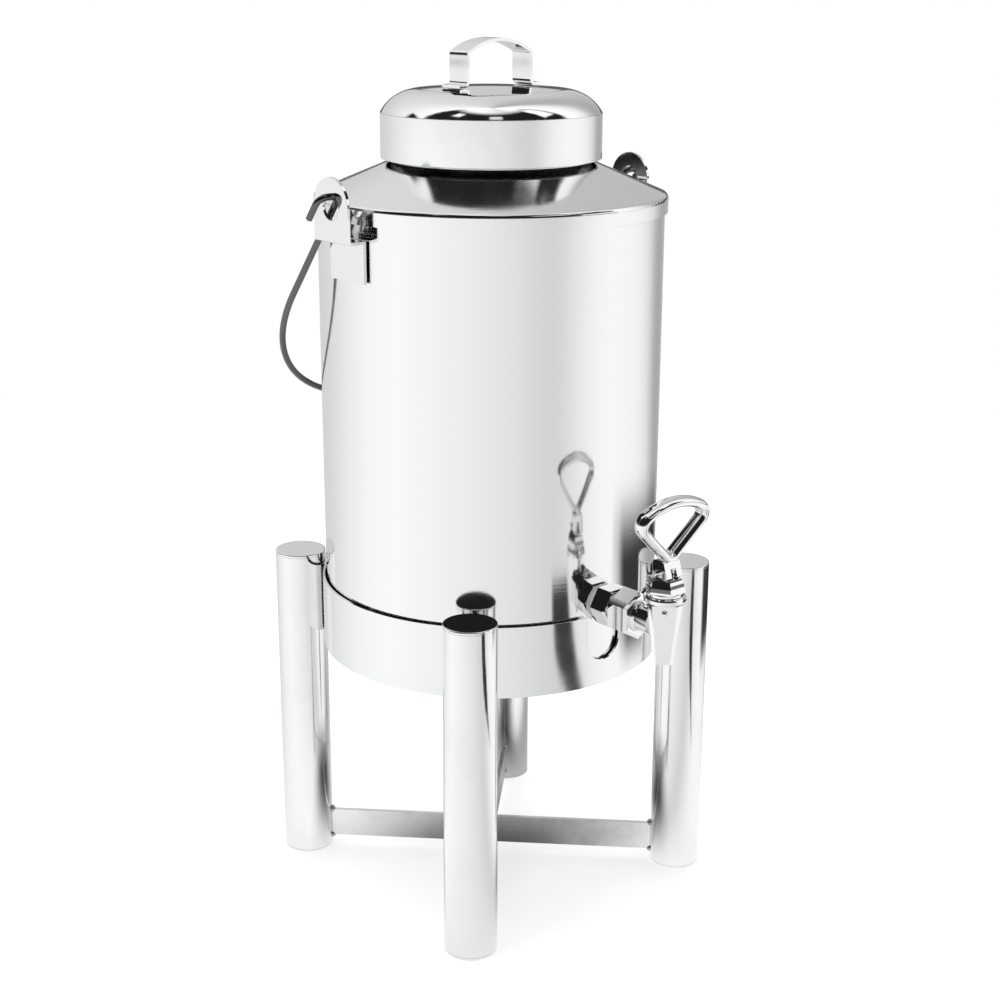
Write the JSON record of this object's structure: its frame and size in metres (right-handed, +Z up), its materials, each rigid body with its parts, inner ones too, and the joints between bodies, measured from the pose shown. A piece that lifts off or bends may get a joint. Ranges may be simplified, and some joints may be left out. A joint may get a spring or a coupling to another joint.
{
  "type": "coffee urn",
  "caption": "Polished steel coffee urn on a legged stand, with a lift-off lid, a wire bail and a lever tap with a loop handle.",
  "frame": {"origin": "on the urn's axis at the floor, midway between the four feet", "axes": "+Z up, -Y towards the tap at the front, +X towards the ear on the right of someone who faces the tap; the bail and the tap's lever both turn about lines along X"},
  "size_m": [0.2782, 0.3184, 0.5831],
  "materials": {
    "polished_steel": "mirror polished",
    "satin_steel": "satin",
    "tap_chrome": "polished",
    "soft_seal": "matt"
  },
  "bodies": {
    "stand": {"leg_front_left": "polished_steel", "leg_front_right": "polished_steel", "leg_back_right": "polished_steel", "leg_back_left": "polished_steel", "leg_top_caps": "polished_steel", "leg_foot_caps": "polished_steel", "stand_ring": "polished_steel", "support_ledge": "satin_steel", "brace_bar_across": "satin_steel", "brace_bar_along": "satin_steel", "brace_welds": "satin_steel"},
    "urn": {"tank_shell": "polished_steel", "tank_bottom": "polished_steel", "shoulder": "polished_steel", "neck_collar": "polished_steel", "ear_left": "polished_steel", "ear_right": "polished_steel", "tap_body": "tap_chrome", "tap_hex_nut": "tap_chrome", "tap_gasket_outer": "soft_seal", "tap_gasket_inner": "soft_seal", "tap_lock_nut": "tap_chrome", "tap_bonnet": "tap_chrome", "tap_spring": "satin_steel", "tap_screw": "tap_chrome"},
    "lid": {"lid_dome": "polished_steel", "lid_skirt": "polished_steel", "lid_inner_pan": "polished_steel", "lid_handle": "polished_steel"},
    "bail": {"bail": "polished_steel"},
    "tap_stem": {"tap_stem": "tap_chrome", "tap_seat_cup": "soft_seal"},
    "tap_lever": {"tap_lever": "tap_chrome", "tap_pivot_pin": "tap_chrome"}
  },
  "joints": [
    {"name": "urn_lift", "type": "slide", "parent": "stand", "child": "urn", "axis": [0, 0, 1], "range_m": [0, 0.08]},
    {"name": "lid_lift", "type": "slide", "parent": "urn", "child": "lid", "axis": [0, 0, 1], "range_m": [0, 0.06]},
    {"name": "bail_swing", "type": "hinge", "parent": "urn", "child": "bail", "pos_m": [0, 0, 0.49055], "axis": [1, 0, 0], "range_deg": [0, 282]},
    {"name": "stem_slide", "type": "slide", "parent": "urn", "child": "tap_stem", "axis": [0, 0, 1], "range_m": [0, 0.00299], "stiffness_N_per_m": 600, "springref_m": -0.006, "deforming": ["tap_spring"]},
    {"name": "lever_pull", "type": "hinge", "parent": "tap_stem", "child": "tap_lever", "pos_m": [0, -0.172, 0.2652], "axis": [1, 0, 0], "range_deg": [0, 35]}
  ],
  "couplings": [
    {"joint": "lever_pull", "follows": "stem_slide", "rad_per_m": 204.08}
  ]
}
